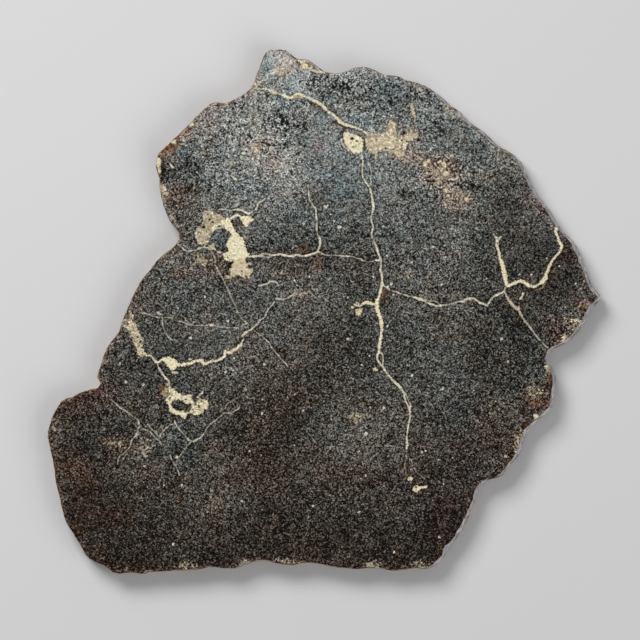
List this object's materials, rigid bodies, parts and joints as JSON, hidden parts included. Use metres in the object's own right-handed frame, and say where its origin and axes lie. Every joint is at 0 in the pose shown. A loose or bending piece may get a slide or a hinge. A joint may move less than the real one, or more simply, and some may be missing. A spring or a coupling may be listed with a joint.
{
  "type": "angrite meteorite slice",
  "caption": "Flat sawn slice of a dark, fine-grained stony meteorite with an irregular weathered edge and cream mineral veins across its cut faces.",
  "frame": {"origin": "bottom centre of the slice's box, on its back cut face", "axes": "+Z out of the veined cut face that is shown, +Y towards the outline's narrow peak, +X towards its blunt point on the right"},
  "size_m": [0.11, 0.1044, 0.005],
  "materials": {
    "stone": "fine-grained dark stone, smooth sawn faces, rough weathered edge"
  },
  "bodies": {
    "root": {"slice": "stone"}
  },
  "joints": []
}
